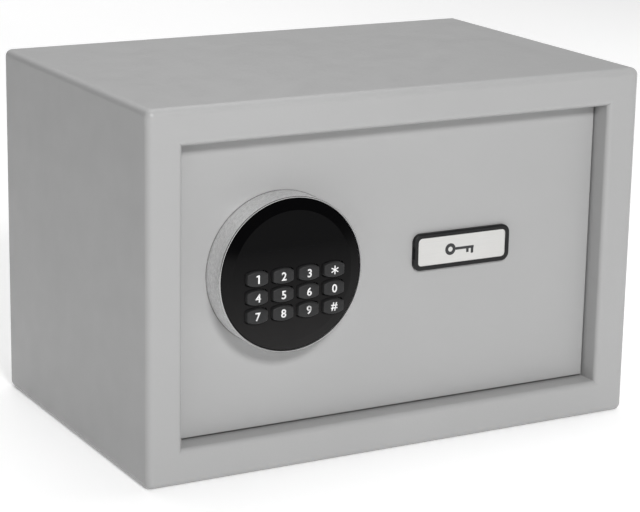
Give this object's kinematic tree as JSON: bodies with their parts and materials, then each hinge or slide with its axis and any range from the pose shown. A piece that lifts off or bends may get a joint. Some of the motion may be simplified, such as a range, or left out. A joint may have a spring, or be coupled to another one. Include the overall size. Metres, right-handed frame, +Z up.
{
  "type": "in room safe",
  "caption": "Compact sheet-steel in-room safe with a recessed hinged door, round metal-rimmed keypad, motor-driven sliding bolts and a covered override lock.",
  "frame": {"origin": "middle of the whole footprint, on the surface that the safe stands on", "axes": "+X to the right as seen from the front, along the width; +Y from the door towards the back; +Z up"},
  "size_m": [0.3, 0.202, 0.2],
  "materials": {
    "powder_coat": "satin powder coat",
    "cover_coat": "satin powder coat",
    "zinc_steel": "zinc plated",
    "bright_steel": "turned",
    "bezel_metal": "fine brushed",
    "plate_metal": "satin",
    "face_plastic": "polished",
    "black_plastic": "moulded satin",
    "key_rubber": "soft touch",
    "black_rubber": "moulded",
    "web_rubber": "translucent",
    "carpet": "needled felt",
    "brass": "turned",
    "bearing_plastic": "moulded",
    "gear_plastic": "moulded",
    "board_laminate": "solder mask",
    "component_plastic": "moulded",
    "display_lens": "smoked",
    "cell_wrap": "printed sleeve",
    "contact_metal": "nickel plated",
    "red_plastic": "moulded",
    "lead_sleeve": "extruded"
  },
  "bodies": {
    "safe_body": {"body_shell": "powder_coat", "front_frame": "powder_coat", "back_panel": "powder_coat", "interior_mat": "carpet", "hinge_bushes": "bearing_plastic", "door_stops": "powder_coat", "door_bumpers": "black_rubber"},
    "door": {"door_panel": "powder_coat", "hinge_pins": "bright_steel", "bezel_gasket": "black_rubber", "bezel_ring": "bezel_metal", "keypad_housing": "black_plastic", "keypad_face": "face_plastic", "keypad_web": "web_rubber", "keypad_board": "board_laminate", "display_module": "display_lens", "keypad_screws": "zinc_steel", "keypad_cable": "lead_sleeve", "lock_housing": "bright_steel", "lock_nut": "zinc_steel", "lock_chassis": "zinc_steel", "chassis_nuts": "zinc_steel", "guide_studs": "bright_steel", "gear_axle": "bright_steel", "lock_motor": "bright_steel", "inner_cover": "cover_coat", "cover_standoffs": "brass", "cover_screws": "zinc_steel", "battery_holder": "black_plastic", "battery_cells": "cell_wrap", "battery_contacts": "contact_metal", "main_board": "board_laminate", "board_parts": "component_plastic", "board_posts": "bearing_plastic", "battery_lead": "lead_sleeve", "motor_lead": "lead_sleeve"},
    "bolt_carriage": {"bolt_carriage": "zinc_steel", "lock_bolts": "bright_steel", "bolt_screws": "zinc_steel"},
    "drive_gear": {"drive_gear": "gear_plastic"},
    "motor_pinion": {"motor_pinion": "brass"},
    "override_plug": {"lock_plug": "brass", "lock_cam": "zinc_steel", "cam_screw": "zinc_steel"},
    "override_cover": {"override_cover": "black_plastic", "cover_plate": "plate_metal"},
    "battery_lid": {"battery_lid": "black_plastic"},
    "reset_button": {"reset_button": "red_plastic"},
    "key_1": {"key_1": "key_rubber"},
    "key_2": {"key_2": "key_rubber"},
    "key_3": {"key_3": "key_rubber"},
    "key_star": {"key_star": "key_rubber"},
    "key_4": {"key_4": "key_rubber"},
    "key_5": {"key_5": "key_rubber"},
    "key_6": {"key_6": "key_rubber"},
    "key_0": {"key_0": "key_rubber"},
    "key_7": {"key_7": "key_rubber"},
    "key_8": {"key_8": "key_rubber"},
    "key_9": {"key_9": "key_rubber"},
    "key_hash": {"key_hash": "key_rubber"}
  },
  "joints": [
    {"name": "door_hinge", "type": "hinge", "parent": "safe_body", "child": "door", "pos_m": [-0.1265, -0.079, 0.1], "axis": [0, 0, -1], "range_deg": [0, 90]},
    {"name": "bolt_slide", "type": "slide", "parent": "door", "child": "bolt_carriage", "axis": [1, 0, 0], "range_m": [0, 0.014]},
    {"name": "drive_gear_spin", "type": "hinge", "parent": "door", "child": "drive_gear", "pos_m": [0.028, -0.058, 0.072], "axis": [0, 1, 0], "range_deg": [0, 115]},
    {"name": "motor_pinion_spin", "type": "hinge", "parent": "door", "child": "motor_pinion", "pos_m": [0.028, -0.054, 0.052], "axis": [0, 1, 0], "range_deg": [-364, 0]},
    {"name": "override_plug_turn", "type": "hinge", "parent": "door", "child": "override_plug", "pos_m": [0.0435, -0.07, 0.1063], "axis": [0, 1, 0], "range_deg": [-90, 0]},
    {"name": "override_cover_pull", "type": "slide", "parent": "door", "child": "override_cover", "axis": [0, -1, 0], "range_m": [0, 0.02]},
    {"name": "battery_lid_hinge", "type": "hinge", "parent": "door", "child": "battery_lid", "pos_m": [-0.078, -0.0504, 0.038], "axis": [-1, 0, 0], "range_deg": [0, 90]},
    {"name": "reset_button_press", "type": "slide", "parent": "door", "child": "reset_button", "axis": [0, -1, 0], "range_m": [0, 0.0015], "stiffness_N_per_m": 800},
    {"name": "key_1_press", "type": "slide", "parent": "door", "child": "key_1", "axis": [0, 1, 0], "range_m": [0, 0.0015], "stiffness_N_per_m": 800},
    {"name": "key_2_press", "type": "slide", "parent": "door", "child": "key_2", "axis": [0, 1, 0], "range_m": [0, 0.0015], "stiffness_N_per_m": 800},
    {"name": "key_3_press", "type": "slide", "parent": "door", "child": "key_3", "axis": [0, 1, 0], "range_m": [0, 0.0015], "stiffness_N_per_m": 800},
    {"name": "key_star_press", "type": "slide", "parent": "door", "child": "key_star", "axis": [0, 1, 0], "range_m": [0, 0.0015], "stiffness_N_per_m": 800},
    {"name": "key_4_press", "type": "slide", "parent": "door", "child": "key_4", "axis": [0, 1, 0], "range_m": [0, 0.0015], "stiffness_N_per_m": 800},
    {"name": "key_5_press", "type": "slide", "parent": "door", "child": "key_5", "axis": [0, 1, 0], "range_m": [0, 0.0015], "stiffness_N_per_m": 800},
    {"name": "key_6_press", "type": "slide", "parent": "door", "child": "key_6", "axis": [0, 1, 0], "range_m": [0, 0.0015], "stiffness_N_per_m": 800},
    {"name": "key_0_press", "type": "slide", "parent": "door", "child": "key_0", "axis": [0, 1, 0], "range_m": [0, 0.0015], "stiffness_N_per_m": 800},
    {"name": "key_7_press", "type": "slide", "parent": "door", "child": "key_7", "axis": [0, 1, 0], "range_m": [0, 0.0015], "stiffness_N_per_m": 800},
    {"name": "key_8_press", "type": "slide", "parent": "door", "child": "key_8", "axis": [0, 1, 0], "range_m": [0, 0.0015], "stiffness_N_per_m": 800},
    {"name": "key_9_press", "type": "slide", "parent": "door", "child": "key_9", "axis": [0, 1, 0], "range_m": [0, 0.0015], "stiffness_N_per_m": 800},
    {"name": "key_hash_press", "type": "slide", "parent": "door", "child": "key_hash", "axis": [0, 1, 0], "range_m": [0, 0.0015], "stiffness_N_per_m": 800}
  ],
  "couplings": [
    {"joint": "drive_gear_spin", "follows": "bolt_slide", "rad_per_m": 142.86},
    {"joint": "motor_pinion_spin", "follows": "bolt_slide", "rad_per_m": -452.38}
  ]
}
